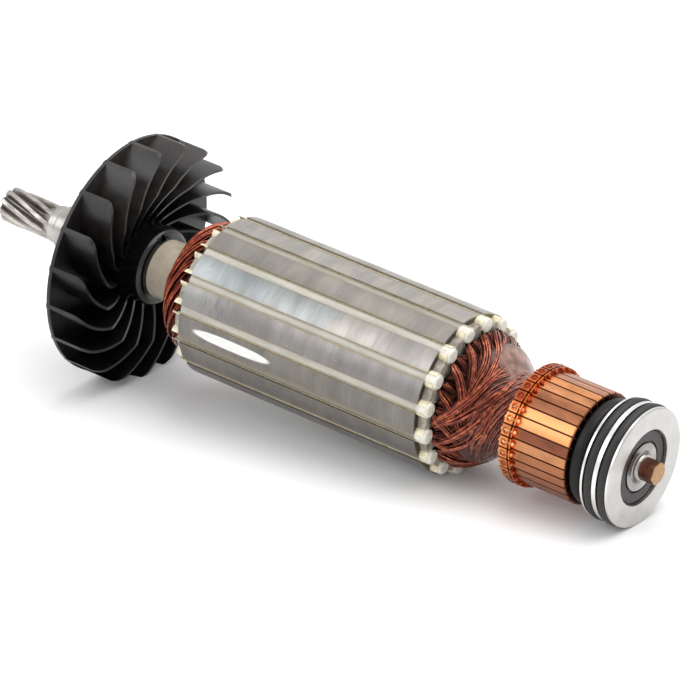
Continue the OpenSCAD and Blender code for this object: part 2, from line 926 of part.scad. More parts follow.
bearing_carrier();
o_ring_front();
o_ring_rear();
bearing_outer_ring();
bearing_seal_front();
bearing_seal_rear();
bearing_balls();
bearing_cage();
bearing_inner_ring();
shaft();
end_stub();
shaft_sleeve();
fan();
core_laminations();
spider_drive_end();
spider_commutator_end();
slot_liners();
slot_rods();
slot_conductors();
winding_drive_end();
winding_commutator_end();
lead_band();
commutator_bars();
commutator_mica();
commutator_moulding();
commutator_bush();
riser_leads();
rubber_disc();
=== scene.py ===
import math
import random

import bpy
from mathutils import Matrix, Vector


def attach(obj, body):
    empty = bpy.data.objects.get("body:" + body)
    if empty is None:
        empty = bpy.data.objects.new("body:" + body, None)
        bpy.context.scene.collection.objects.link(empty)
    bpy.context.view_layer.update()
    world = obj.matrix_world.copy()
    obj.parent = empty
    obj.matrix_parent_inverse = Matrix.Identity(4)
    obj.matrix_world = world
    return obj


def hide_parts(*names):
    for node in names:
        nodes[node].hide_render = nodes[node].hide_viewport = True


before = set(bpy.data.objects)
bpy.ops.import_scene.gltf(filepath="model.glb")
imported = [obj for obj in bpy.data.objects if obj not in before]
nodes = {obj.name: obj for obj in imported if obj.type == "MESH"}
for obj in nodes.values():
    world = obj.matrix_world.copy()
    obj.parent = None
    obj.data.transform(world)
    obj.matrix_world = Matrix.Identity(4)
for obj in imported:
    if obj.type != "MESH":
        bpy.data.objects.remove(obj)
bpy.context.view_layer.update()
mm = 0.001
random.seed(7)
print("Stage: solids loaded,", len(nodes), "nodes")


# The photograph's view of the shaft, which lies 5.8 degrees out of level
camera = {
    "place": Vector((0.819916, -1.360126, 0.841015)),
    "right": Vector((0.79590, 0.59992, 0.08150)),
    "up": Vector((-0.33172, 0.31950, 0.88763)),
    "lens": 304.69,
    "sensor": 36.0,
    "nearest": 0.05,
    "farthest": 20,
}


def placeCamera():
    back = camera["right"].cross(camera["up"]).normalized()
    turn = Matrix((camera["right"], camera["up"], back)).transposed().to_4x4()
    bpy.ops.object.camera_add()
    cam = bpy.context.object
    cam.name = "studioCamera"
    cam.matrix_world = Matrix.Translation(camera["place"]) @ turn
    cam.data.lens = camera["lens"]
    cam.data.sensor_width = camera["sensor"]
    cam.data.sensor_fit = "HORIZONTAL"
    cam.data.clip_start = camera["nearest"]
    cam.data.clip_end = camera["farthest"]
    bpy.context.scene.camera = cam


placeCamera()


# Sizes of the solids that the finishes and the wires follow, in millimetres and degrees

slotCount = 16
slotStep = 360 / slotCount
slotStart = 13.2
barCount = 32
barStep = 360 / barCount
barStart = 1.25
core = {"radius": 27.2, "front": -69.5, "mouthHalf": 3.4}
balanceCut = {"x": -142.6, "angle": 181.95, "halfLength": 16.0, "halfWidth": 1.9}
riser = {"back": -42.0, "front": -37.4, "radius": 20.1, "weld": -39.9, "groove": -38.15}
trackRadius = 18.8
pinion = {"front": -236.6, "rootRadius": 4.6, "tipRadius": 6.1}
stubEnd = 5.4

# Outlines of the two coil ends as places along the shaft and radii
rearDome = [(-67, 22.6), (-66, 23.4), (-64.5, 23.3), (-61, 21.9), (-57.7, 20), (-55, 18.1), (-52.7, 15.9)]
rearDome += [(-50.6, 14.2), (-48.5, 13.6), (-46.1, 13.5), (-43.9, 14.9), (-42, 17.7)]
frontDome = [(-178, 17.2), (-177.4, 18.7), (-176.3, 20.2), (-174.8, 21.3), (-173, 22.1), (-171, 22.8)]
frontDome += [(-169.4, 22.9), (-167.8, 22.5), (-166.5, 22.2)]


# Colours and nodes


def linear(code):
    parts = [int(code[i : i + 2], 16) / 255 for i in (1, 3, 5)]
    return [p / 12.92 if p <= 0.04045 else ((p + 0.055) / 1.055) ** 2.4 for p in parts] + [1.0]


# Each input takes a value, a colour's hex code, a socket or a node, linked by its first live output
def fillInputs(node, inputs):
    for key, source in inputs.items():
        if isinstance(source, bpy.types.Node):
            source = next(socket for socket in source.outputs if socket.enabled)
        if isinstance(source, bpy.types.NodeSocket):
            node.id_data.links.new(source, node.inputs[key])
        elif isinstance(source, str):
            node.inputs[key].default_value = linear(source)
        else:
            node.inputs[key].default_value = source


# A Mix node's share is its input 0, its plain values are inputs 2 and 3, and its colours inputs 6 and 7
def addNode(tree, kind, inputs, **settings):
    node = tree.nodes.new("ShaderNode" + kind)
    for key, value in settings.items():
        setattr(node, key, value)
    fillInputs(node, inputs)
    return node


# A material with its shader, and the place on the object that its patterns follow
def newMaterial(name, **shader):
    material = bpy.data.materials.new(name)
    material.use_nodes = True
    tree = material.node_tree
    tree.nodes.clear()
    surface = addNode(tree, "BsdfPrincipled", shader)
    addNode(tree, "OutputMaterial", {"Surface": surface})
    place = addNode(tree, "TexCoord", {}).outputs["Object"]
    return material, tree, surface, place


# Place along the shaft and distance from it in millimetres, and angle round it in degrees from 0 to 360
def shaftPolar(tree, place):
    scaled = addNode(tree, "VectorMath", {0: place, 1: (1000, 1000, 1000)}, operation="MULTIPLY")
    split = addNode(tree, "SeparateXYZ", {0: scaled})
    across = addNode(tree, "VectorMath", {0: scaled, 1: (0, 1, 1)}, operation="MULTIPLY")
    radius = addNode(tree, "VectorMath", {0: across}, operation="LENGTH")
    turn = addNode(tree, "Math", {0: split.outputs["Z"], 1: split.outputs["Y"]}, operation="ARCTAN2")
    turn = addNode(tree, "Math", {0: turn, 1: 180 / math.pi, 2: 360}, operation="MULTIPLY_ADD")
    angle = addNode(tree, "Math", {0: turn, 1: 360}, operation="MODULO")
    return split.outputs["X"], radius, angle


# Greys or colours over a value; the stops are given in the value's own units
def tonesOver(tree, source, stops):
    low = stops[0][0]
    high = stops[-1][0]
    share = addNode(tree, "MapRange", {0: source, 1: low, 2: high})
    tones = addNode(tree, "ValToRGB", {0: share})
    band = tones.color_ramp
    while len(band.elements) < len(stops):
        band.elements.new(0.5)
    for element, (position, tone) in zip(band.elements, stops):
        element.position = (position - low) / (high - low)
        element.color = linear(tone) if isinstance(tone, str) else (tone, tone, tone, 1)
    return tones


# Uneven pattern whose features have a real size in millimetres, drawn out along an axis by a small stretch
def uneven(tree, place, size, detail=3.0, rough=0.5, stretch=(1, 1, 1)):
    drawn = addNode(tree, "Mapping", {0: place, "Scale": stretch})
    values = {0: drawn, "Scale": 1 / (size * mm), "Detail": detail, "Roughness": rough}
    return addNode(tree, "TexNoise", values)


# Angle of the middle of a place's step round the shaft, so that a step can have one colour
def stepMiddle(tree, angle, start, step):
    count = addNode(tree, "Math", {0: angle, 1: start}, operation="SUBTRACT")
    count = addNode(tree, "Math", {0: count, 1: step}, operation="DIVIDE")
    count = addNode(tree, "Math", {0: count}, operation="FLOOR")
    return addNode(tree, "Math", {0: count, 1: step, 2: start + step / 2}, operation="MULTIPLY_ADD")


# Angle from the middle of the nearest step, from minus half a step to half a step
def stepOffset(tree, angle, middle, step):
    turned = addNode(tree, "Math", {0: angle, 1: 360 + step / 2 - middle}, operation="ADD")
    turned = addNode(tree, "Math", {0: turned, 1: step}, operation="MODULO")
    return addNode(tree, "Math", {0: turned, 1: step / 2}, operation="SUBTRACT")


# Waves over a distance in millimetres, as a lathe's tool leaves them
def toolMarks(tree, distance, pitch):
    phase = addNode(tree, "Math", {0: distance, 1: 2 * math.pi / pitch}, operation="MULTIPLY")
    return addNode(tree, "Math", {0: phase}, operation="SINE")


# Finishes

carrierMetal = {"toolMark": 0.35, "markDepth": 0.0015, "faceEdge": -0.8, "face": -0.3}


# Turned aluminium: even and bright, with fine rings left by the lathe tool
def turnedAluminium():
    material, tree, surface, place = newMaterial(
        "turnedAluminium", Metallic=1.0, Roughness=0.3, Anisotropic=0.4
    )
    along, radius = shaftPolar(tree, place)[:2]
    smudge = uneven(tree, place, 6)
    lands = tonesOver(tree, smudge, [(0.3, "#dddbd8"), (0.7, "#eceae8")])
    # The rear face is painted darker than the lands between the O-rings, as painted shade
    face = tonesOver(tree, along, [(carrierMetal["faceEdge"], 0), (carrierMetal["face"], 1)])
    shadedGrey = tonesOver(tree, smudge, [(0.3, "#bdbbb8"), (0.7, "#cbc9c6")])
    # Tool marks drawn 0.35 mm apart so that they show
    rings = toolMarks(tree, radius, carrierMetal["toolMark"])
    turns = toolMarks(tree, along, carrierMetal["toolMark"])
    marks = addNode(tree, "Math", {0: rings, 1: turns}, operation="ADD")
    depth = carrierMetal["markDepth"] * mm
    fillInputs(surface, {
        "Base Color": addNode(tree, "Mix", {0: face, 6: lands, 7: shadedGrey}, data_type="RGBA"),
        "Roughness": tonesOver(tree, smudge, [(0.3, 0.27), (0.75, 0.34)]),
        "Normal": addNode(tree, "Bump", {"Height": marks, "Distance": depth, "Strength": 0.5}),
    })
    return material


# Nitrile rubber: black to dark grey, soft sheen with a little dust
def nitrileRubber(name, dark, light, rough, gloss=0.5):
    material, tree, surface, place = newMaterial(name, Roughness=rough)
    dust = uneven(tree, place, 1.2, 6, 0.7)
    skin = uneven(tree, place, 0.3)
    fillInputs(surface, {
        "Base Color": tonesOver(tree, dust, [(0.4, dark), (0.8, light)]),
        "Roughness": tonesOver(tree, dust, [(0.3, rough - 0.08), (0.8, rough + 0.15)]),
        "Specular IOR Level": gloss,
        "Normal": addNode(tree, "Bump", {"Height": skin, "Distance": 0.025 * mm, "Strength": 0.4}),
    })
    return material


# Ground bearing steel: cool grey with fine grinding streaks
def groundSteel():
    material, tree, surface, place = newMaterial(
        "bearingSteel", Metallic=1.0, Roughness=0.28, Anisotropic=0.35
    )
    streaks = uneven(tree, place, 0.5, 4, 0.6, (6, 0.6, 0.6))
    fillInputs(surface, {
        "Base Color": tonesOver(tree, uneven(tree, place, 5), [(0.3, "#8c8a87"), (0.72, "#b2b0ad")]),
        "Roughness": tonesOver(tree, streaks, [(0.3, 0.22), (0.75, 0.38)]),
        "Normal": addNode(tree, "Bump", {"Height": streaks, "Distance": 0.006 * mm, "Strength": 0.4}),
    })
    return material


# Ground and hobbed shaft: the pinion is worn, and its tooth gaps are painted darker as painted shade
def hobbedSteel():
    material, tree, surface, place = newMaterial(
        "hobbedSteel", Metallic=1.0, Roughness=0.34, Anisotropic=0.3
    )
    along, radius = shaftPolar(tree, place)[:2]
    ground = tonesOver(tree, uneven(tree, place, 4), [(0.3, "#a5a19c"), (0.72, "#c0bcb7")])
    wear = uneven(tree, place, 1.5, 4, 0.6, (0.25, 1, 1))
    wornAndShaded = tonesOver(tree, wear, [(0.35, "#96918c"), (0.6, "#c6c1bb")])
    onPinion = tonesOver(tree, along, [(pinion["front"] - 1, 1), (pinion["front"] + 0.5, 0)])
    colour = addNode(tree, "Mix", {0: onPinion, 6: ground, 7: wornAndShaded}, data_type="RGBA")
    # Painted shade in the tooth gaps, darkest at their roots
    deep = tonesOver(tree, radius, [(pinion["rootRadius"], 0.8), (pinion["tipRadius"] - 0.1, 0)])
    gapShade = addNode(tree, "Math", {0: deep, 1: onPinion}, operation="MULTIPLY")
    streaks = uneven(tree, place, 0.4, 4, 0.6, (0.3, 1, 1))
    fillInputs(surface, {
        "Base Color": addNode(tree, "Mix", {0: gapShade, 6: colour, 7: "#57504a"}, data_type="RGBA"),
        "Roughness": tonesOver(tree, streaks, [(0.3, 0.24), (0.75, 0.42)]),
        "Normal": addNode(tree, "Bump", {"Height": streaks, "Distance": 0.02 * mm, "Strength": 0.5}),
    })
    return material


# Bronzed hexagon stub: dark brown sides and a sawn, tan end face
def bronzedStub():
    material, tree, surface, place = newMaterial("bronzedStub", Metallic=0.55, Roughness=0.32)
    along = shaftPolar(tree, place)[0]
    brushed = uneven(tree, place, 0.5, 4, 0.6, (1, 1, 0.12))
    cloud = uneven(tree, place, 2.5, 4, 0.6)
    sides = tonesOver(tree, cloud, [(0.3, "#4d2c20"), (0.7, "#7a4b37")])
    sawn = tonesOver(tree, brushed, [(0.3, "#9a6f49"), (0.7, "#b8926b")])
    atEnd = tonesOver(tree, along, [(stubEnd - 0.35, 0), (stubEnd - 0.2, 1)])
    fillInputs(surface, {
        "Base Color": addNode(tree, "Mix", {0: atEnd, 6: sides, 7: sawn}, data_type="RGBA"),
        "Roughness": tonesOver(tree, cloud, [(0.3, 0.26), (0.7, 0.42)]),
        "Normal": addNode(tree, "Bump", {"Height": brushed, "Distance": 0.02 * mm, "Strength": 0.4}),
    })
    return material


# Greys of the teeth by their angle, painted light and shade: lighter above the front, darker below, and one
# tooth bluish as a painted reflection of the window
toothGreys = {
    "bright": "#b5b1ab",
    "bluish": "#9ca0a0",
    "satin": "#96928c",
    "shadedGrey": "#8b8886",
    "shadedBelow": "#7c7974",
}
toothTones = [(46.9, "satin"), (91.9, "bright"), (114.45, "satin"), (136.95, "bluish"), (159.45, "shadedGrey")]
toothTones += [(181.95, "shadedBelow"), (204.45, "shadedBelow"), (249.45, "shadedGrey"), (316.95, "satin")]

# Two teeth have wear of their own, given as places along the shaft in millimetres and shares
upperTooth = {"middle": 136.95, "warm": [(-96, 0), (-91, 0.85)]}
frontTooth = {
    "middle": 159.45,
    "cleanAndLit": [(-152, 0.5), (-142, 0)],
    "chatter": [(-158, 0), (-154, 1), (-147, 1), (-143, 0)],
}


# Stack of electrical sheets, ground outside: each tooth has a grey of painted light and shade, with faint
# sheet lines, scratches, resin stains along the slots, painted shade on the end faces and slot walls and one
# bright cut where it was balanced, partly a painted highlight
def groundSheetStack():
    material, tree, surface, place = newMaterial(
        "groundSheetStack", Metallic=1.0, Roughness=0.38, Anisotropic=0.3
    )
    along, radius, angle = shaftPolar(tree, place)
    tooth = stepMiddle(tree, angle, slotStart, slotStep)
    onUpper = addNode(tree, "Math", {0: tooth, 1: upperTooth["middle"], 2: 1}, operation="COMPARE")
    onFront = addNode(tree, "Math", {0: tooth, 1: frontTooth["middle"], 2: 1}, operation="COMPARE")
    # Each tooth's grey is painted light and shade by its angle
    colour = tonesOver(tree, tooth, [(middle, toothGreys[tone]) for middle, tone in toothTones])

    # The upper tooth is rubbed warm from its middle to the commutator's end, with a ragged start
    ragged = {0: uneven(tree, place, 5, 4, 0.7), 1: 30, 2: along}
    ragged = addNode(tree, "Math", ragged, operation="MULTIPLY_ADD")
    warm = tonesOver(tree, ragged, upperTooth["warm"])
    warm = addNode(tree, "Math", {0: warm, 1: onUpper}, operation="MULTIPLY")
    colour = addNode(tree, "Mix", {0: warm, 6: colour, 7: "#a19b96"}, data_type="RGBA")

    # Blocks of the stack are rubbed brighter
    block = tonesOver(tree, uneven(tree, place, 10, 1, 0.4, (1, 0.3, 0.3)), [(0.52, 0), (0.55, 0.5)])
    brighter = {0: block, 6: colour, 7: (1.2, 1.16, 1.12, 1)}
    colour = addNode(tree, "Mix", brighter, data_type="RGBA", blend_type="MULTIPLY")

    # Rubbed and greasy areas reach across a tooth
    cloud = uneven(tree, place, 9, 4, 0.55, (1, 0.35, 0.35))
    rubbed = tonesOver(tree, cloud, [(0.3, 0.8), (0.5, 0.97), (0.72, 1.22)])
    colour = addNode(tree, "Mix", {0: 1, 6: colour, 7: rubbed}, data_type="RGBA", blend_type="MULTIPLY")

    # Sheets of 0.5 mm, their burrs dragged along by the grinding
    sheets = uneven(tree, place, 0.5, 2, 0.5, (1, 0.06, 0.06))
    lines = tonesOver(tree, sheets, [(0.3, 0.66), (0.7, 1.05)])
    colour = addNode(tree, "Mix", {0: 0.35, 6: colour, 7: lines}, data_type="RGBA", blend_type="MULTIPLY")

    # The front tooth is cleaner near its drive end, with chatter marks across it
    cleanAndLit = tonesOver(tree, along, frontTooth["cleanAndLit"])
    cleanAndLit = addNode(tree, "Math", {0: cleanAndLit, 1: onFront}, operation="MULTIPLY")
    colour = addNode(tree, "Mix", {0: cleanAndLit, 6: colour, 7: "#a2a2a0"}, data_type="RGBA")
    chatter = tonesOver(tree, uneven(tree, place, 0.7, 2, 0.5, (1, 0.1, 0.1)), [(0.54, 0), (0.62, 0.6)])
    chatter = addNode(tree, "Math", {0: chatter, 1: onFront}, operation="MULTIPLY")
    reach = tonesOver(tree, along, frontTooth["chatter"])
    chatter = addNode(tree, "Math", {0: chatter, 1: reach}, operation="MULTIPLY")
    colour = addNode(tree, "Mix", {0: chatter, 6: colour, 7: "#5f5d5b"}, data_type="RGBA")

    # Resin stains beside the slots
    edge = stepOffset(tree, angle, slotStart, slotStep)
    edge = addNode(tree, "Math", {0: edge}, operation="ABSOLUTE")
    nearSlot = tonesOver(tree, edge, [(core["mouthHalf"], 0.6), (core["mouthHalf"] + 1.6, 0)])
    blotch = tonesOver(tree, uneven(tree, place, 5, 4, 0.6, (0.35, 1, 1)), [(0.4, 0.2), (0.62, 1)])
    stain = addNode(tree, "Math", {0: nearSlot, 1: blotch}, operation="MULTIPLY")
    colour = addNode(tree, "Mix", {0: stain, 6: colour, 7: "#8f8069"}, data_type="RGBA")

    # A few fine scratches
    scratch = tonesOver(tree, uneven(tree, place, 0.7, 2, 0.4, (0.2, 1, 1)), [(0.72, 0), (0.78, 0.22)])
    colour = addNode(tree, "Mix", {0: scratch, 6: colour, 7: "#e2e0da"}, data_type="RGBA")

    # End faces and slot walls are painted dark as painted shade
    inside = tonesOver(tree, radius, [(core["radius"] - 0.6, 0.8), (core["radius"] - 0.35, 0)])
    colour = addNode(tree, "Mix", {0: inside, 6: colour, 7: "#4a443a"}, data_type="RGBA")

    # The balancing cut is a milled oval, painted bright as fresh metal and as a painted highlight
    turned = addNode(tree, "Math", {0: angle, 1: balanceCut["angle"]}, operation="SUBTRACT")
    turned = addNode(tree, "Math", {0: turned}, operation="RADIANS")
    aside = addNode(tree, "Math", {0: turned, 1: radius}, operation="MULTIPLY")
    aside = addNode(tree, "Math", {0: aside, 1: balanceCut["halfWidth"]}, operation="DIVIDE")
    aside = addNode(tree, "Math", {0: aside, 1: 2}, operation="POWER")
    ahead = addNode(tree, "Math", {0: along, 1: balanceCut["x"]}, operation="SUBTRACT")
    ahead = addNode(tree, "Math", {0: ahead, 1: balanceCut["halfLength"]}, operation="DIVIDE")
    ahead = addNode(tree, "Math", {0: ahead}, operation="ABSOLUTE")
    ahead = addNode(tree, "Math", {0: ahead, 1: 2.8}, operation="POWER")
    reach = addNode(tree, "Math", {0: aside, 1: ahead}, operation="ADD")
    cut = tonesOver(tree, reach, [(0.7, 1), (1.05, 0)])
    milledHighlight = uneven(tree, place, 0.5, 2, 0.4, (0.1, 1, 1))
    milledHighlight = tonesOver(tree, milledHighlight, [(0.35, "#d8d7d5"), (0.6, "#e9e8e5")])
    satin = tonesOver(tree, cloud, [(0.3, 0.44), (0.7, 0.32)])
    fillInputs(surface, {
        "Base Color": addNode(tree, "Mix", {0: cut, 6: colour, 7: milledHighlight}, data_type="RGBA"),
        "Roughness": addNode(tree, "Mix", {0: cut, 2: satin, 3: 0.22}),
        "Normal": addNode(tree, "Bump", {"Height": sheets, "Distance": 0.012 * mm, "Strength": 0.5}),
    })
    return material


# Pressed fibre with dipping resin on it: grimy grey, glossy and blotchy
def resinedFibre():
    material, tree, surface, place = newMaterial("resinedFibre", Roughness=0.38)
    cloud = uneven(tree, place, 2.4, 5, 0.65)
    lumps = uneven(tree, place, 0.8, 4)
    fillInputs(surface, {
        "Base Color": tonesOver(tree, cloud, [(0.3, "#6b6459"), (0.5, "#979084"), (0.72, "#b9b1a3")]),
        "Roughness": tonesOver(tree, cloud, [(0.3, 0.26), (0.7, 0.5)]),
        "Coat Weight": 0.35,
        "Coat Roughness": 0.15,
        "Normal": addNode(tree, "Bump", {"Height": lumps, "Distance": 0.08 * mm, "Strength": 0.4}),
    })
    return material


# Painted shade on the rods where they close the slots, by their angle: most at the top and underneath, none
# toward the front
rodShade = [(60, 0.75), (81, 0.66), (104, 0.45), (120, 0), (176, 0), (190, 0.86), (330, 0.86)]


# Glass-fibre rods: milky and glossy at their free ends, dull with resin where they close the slots
def slotRod():
    material, tree, surface, place = newMaterial("slotRod", Roughness=0.34)
    along, angle = shaftPolar(tree, place)[::2]
    streak = uneven(tree, place, 2.0, 4, 0.6, (0.15, 1, 1))
    cloud = uneven(tree, place, 1.4, 4, 0.6)
    closed = tonesOver(tree, streak, [(0.3, "#a39f92"), (0.7, "#c0bcb1")])
    edge = stepOffset(tree, angle, slotStart, slotStep)
    edge = addNode(tree, "Math", {0: edge}, operation="ABSOLUTE")
    rim = tonesOver(tree, edge, [(2.3, 0), (3.2, 0.6)])
    closed = addNode(tree, "Mix", {0: rim, 6: closed, 7: "#d3c9ae"}, data_type="RGBA")
    # Away from the front the closed rods are painted darker as painted shade
    shadedRod = tonesOver(tree, angle, rodShade)
    closed = addNode(tree, "Mix", {0: shadedRod, 6: closed, 7: "#6c6254"}, data_type="RGBA")
    free = tonesOver(tree, cloud, [(0.3, "#c8c3b1"), (0.6, "#dddbd2")])
    outside = tonesOver(tree, along, [(core["front"] - 0.4, 0), (core["front"] + 0.4, 1)])
    fillInputs(surface, {
        "Base Color": addNode(tree, "Mix", {0: outside, 6: closed, 7: free}, data_type="RGBA"),
        "Roughness": tonesOver(tree, cloud, [(0.3, 0.25), (0.7, 0.4)]),
        "Coat Weight": 0.3,
        "Coat Roughness": 0.15,
        "Subsurface Weight": 0.1,
        "Subsurface Radius": (0.001, 0.0009, 0.0007),
        "Normal": addNode(tree, "Bump", {"Height": streak, "Distance": 0.04 * mm, "Strength": 0.4}),
    })
    return material


# Slot paper: cream with a thin coat of resin and brown specks
def slotPaper():
    material, tree, surface, place = newMaterial("slotPaper", Roughness=0.42)
    cloud = uneven(tree, place, 1.6, 5, 0.6)
    paper = tonesOver(tree, cloud, [(0.28, "#c4b792"), (0.6, "#efe6c9")])
    specks = tonesOver(tree, uneven(tree, place, 0.9, 2), [(0.66, 0), (0.74, 0.5)])
    fibres = uneven(tree, place, 0.5)
    fillInputs(surface, {
        "Base Color": addNode(tree, "Mix", {0: specks, 6: paper, 7: "#8f6a48"}, data_type="RGBA"),
        "Roughness": tonesOver(tree, cloud, [(0.3, 0.34), (0.7, 0.5)]),
        "Coat Weight": 0.2,
        "Coat Roughness": 0.18,
        "Normal": addNode(tree, "Bump", {"Height": fibres, "Distance": 0.03 * mm, "Strength": 0.4}),
    })
    return material


# Share of painted shade on a wire by its depth in millimetres under the outline of its coil end
buriedShadeShares = [(-0.2, 0), (0.3, 0.38), (0.9, 0.72), (1.8, 0.88), (2.6, 0.95)]


# Enamelled copper wire: metal under clear amber enamel, so reddish with glossy streaks. The wires below their
# coil end's outline are painted darker as painted shade and made duller. The film is the share of milky resin
# on top.
def enamelledCopper(name, dark, mid, light, outline=None, film=0.0):
    material, tree, surface, place = newMaterial(name, Metallic=0.85, Roughness=0.3)
    along, radius, angle = shaftPolar(tree, place)
    cloud = uneven(tree, place, 1.8, 4, 0.6)
    colour = tonesOver(tree, cloud, [(0.3, dark), (0.5, mid), (0.72, light)])
    coat = 0.8
    if outline:
        largest = max(r for x, r in outline)
        share = tonesOver(tree, along, [(x, r / largest) for x, r in outline])
        over = addNode(tree, "Math", {0: share, 1: largest}, operation="MULTIPLY")
        depth = addNode(tree, "Math", {0: over, 1: radius}, operation="SUBTRACT")
        # Wires below the outline are painted darker as painted shade
        buriedShade = tonesOver(tree, depth, buriedShadeShares)
        colour = addNode(tree, "Mix", {0: buriedShade, 6: colour, 7: "#1f0603"}, data_type="RGBA")
        coat = addNode(tree, "Math", {0: buriedShade, 1: -0.75, 2: coat}, operation="MULTIPLY_ADD")
    if film:
        milky = resinFilm(tree, place, along, angle)
        milky = addNode(tree, "Math", {0: milky, 1: film}, operation="MULTIPLY")
        colour = addNode(tree, "Mix", {0: milky, 6: colour, 7: "#90705f"}, data_type="RGBA")
        metal = addNode(tree, "Math", {0: milky, 1: -0.6, 2: 0.85}, operation="MULTIPLY_ADD")
        fillInputs(surface, {"Metallic": metal})
    dents = uneven(tree, place, 0.7)
    fillInputs(surface, {
        "Base Color": colour,
        "Roughness": tonesOver(tree, cloud, [(0.3, 0.36), (0.7, 0.24)]),
        "Coat Weight": coat,
        "Coat Roughness": 0.08,
        "Normal": addNode(tree, "Bump", {"Height": dents, "Distance": 0.02 * mm, "Strength": 0.3}),
    })
    return material


# Where milky resin lies on the rear winding, by angle and by place along the shaft
milkyResin = {
    "top": [(40, 1), (88, 1), (116, 0.25), (140, 0)],
    "under": [(170, 0), (215, 0.12), (330, 0.3)],
    "nearNeck": [(-61, 0), (-56, 1)],
}


# Share of milky resin on the rear winding, most at its top and near the commutator
def resinFilm(tree, place, along, angle):
    top = tonesOver(tree, angle, milkyResin["top"])
    under = tonesOver(tree, angle, milkyResin["under"])
    side = addNode(tree, "Math", {0: top, 1: under}, operation="MAXIMUM")
    nearNeck = tonesOver(tree, along, milkyResin["nearNeck"])
    side = addNode(tree, "Math", {0: side, 1: nearNeck}, operation="MULTIPLY")
    drips = tonesOver(tree, uneven(tree, place, 5, 2), [(0.4, 0.475), (0.6, 0.95)])
    return addNode(tree, "Math", {0: side, 1: drips}, operation="MULTIPLY")


# Impregnating resin between the wires and over the leads: glossy, dark red-brown, milky where it lies thick.
# Deep between the coils, near the core, it is painted nearly black as painted shade, and dull.
def drippedResin():
    material, tree, surface, place = newMaterial("drippedResin", Roughness=0.22)
    along, angle = shaftPolar(tree, place)[::2]
    cloud = uneven(tree, place, 3, 5, 0.6, (1, 0.5, 0.5))
    colour = tonesOver(tree, cloud, [(0.3, "#1c0603"), (0.52, "#3a140c"), (0.75, "#5a2c20")])
    # Near the core the resin is painted near black as painted shade
    shadedDeepEnd = tonesOver(tree, along, [(-61, 1), (-58, 0)])
    colour = addNode(tree, "Mix", {0: shadedDeepEnd, 6: colour, 7: "#120302"}, data_type="RGBA")
    milky = resinFilm(tree, place, along, angle)
    thick = addNode(tree, "Math", {0: milky, 1: 0.85}, operation="MULTIPLY")
    satin = tonesOver(tree, cloud, [(0.3, 0.2), (0.7, 0.4)])
    lumps = uneven(tree, place, 1.8)
    fillInputs(surface, {
        "Base Color": addNode(tree, "Mix", {0: thick, 6: colour, 7: "#aa887b"}, data_type="RGBA"),
        "Roughness": addNode(tree, "Mix", {0: shadedDeepEnd, 2: satin, 3: 0.75}),
        "Specular IOR Level": tonesOver(tree, along, [(-61, 0.03), (-58, 0.2)]),
        "Coat Weight": addNode(tree, "Math", {0: milky, 1: 0.5}, operation="MULTIPLY"),
        "Coat Roughness": 0.08,
        "Normal": addNode(tree, "Bump", {"Height": lumps, "Distance": 0.3 * mm, "Strength": 0.6}),
    })
    return material


# Coppers of the bars by their angle, painted light and shade: painted highlight where they face the window,
# darker elsewhere
barCoppers = {
    "cleanAndLit": "#e59c67",
    "pinkish": "#c69278",
    "wornAndShaded": "#be845d",
    "shaded": "#a46c4e",
    "dark": "#895440",
}
barTones = [(51.9, "wornAndShaded"), (85.6, "pinkish"), (96.9, "cleanAndLit"), (108.1, "wornAndShaded"), (119.4, "shaded")]
barTones += [(130.6, "shaded"), (141.9, "cleanAndLit"), (153.1, "cleanAndLit"), (164.4, "dark"), (175.6, "wornAndShaded")]
barTones += [(186.9, "shaded")]

# Painted light and shade by the angle on the melted lead ends and on the riser's flange, brightest toward the
# front
leadLightAndShade = [(134, "#9f3e1d"), (154, "#ffbe84"), (176, "#ffbe84"), (200, "#9f3e1d")]
flangeLightAndShade = [(70, "#c87a58"), (108, "#b4562a"), (135, "#b4562a"), (150, "#e2925a")]

# The track's tool marks, and the shares of a weld crater's bright centre and dark rim by the distance from it
trackMetal = {"toolMark": 0.3, "markDepth": 0.0015}
crater = {"centre": [(0.75, 1), (1.15, 0)], "rim": [(0.9, 0), (1.2, 0.6), (1.45, 0.6), (1.95, 0)]}


# Lead ends welded into the riser: melted copper, painted bright in front as painted highlight and reddish
# above and below as painted shade
def meltedCopper():
    material, tree, surface, place = newMaterial("meltedCopper", Metallic=0.45, Roughness=0.35)
    angle = shaftPolar(tree, place)[2]
    paintedMelt = tonesOver(tree, angle, leadLightAndShade)
    scorched = tonesOver(tree, uneven(tree, place, 0.8), [(0.52, 0), (0.62, 0.45)])
    lumps = uneven(tree, place, 0.5)
    fillInputs(surface, {
        "Base Color": addNode(tree, "Mix", {0: scorched, 6: paintedMelt, 7: "#8a2a10"}, data_type="RGBA"),
        "Normal": addNode(tree, "Bump", {"Height": lumps, "Distance": 0.04 * mm, "Strength": 0.5}),
    })
    return material
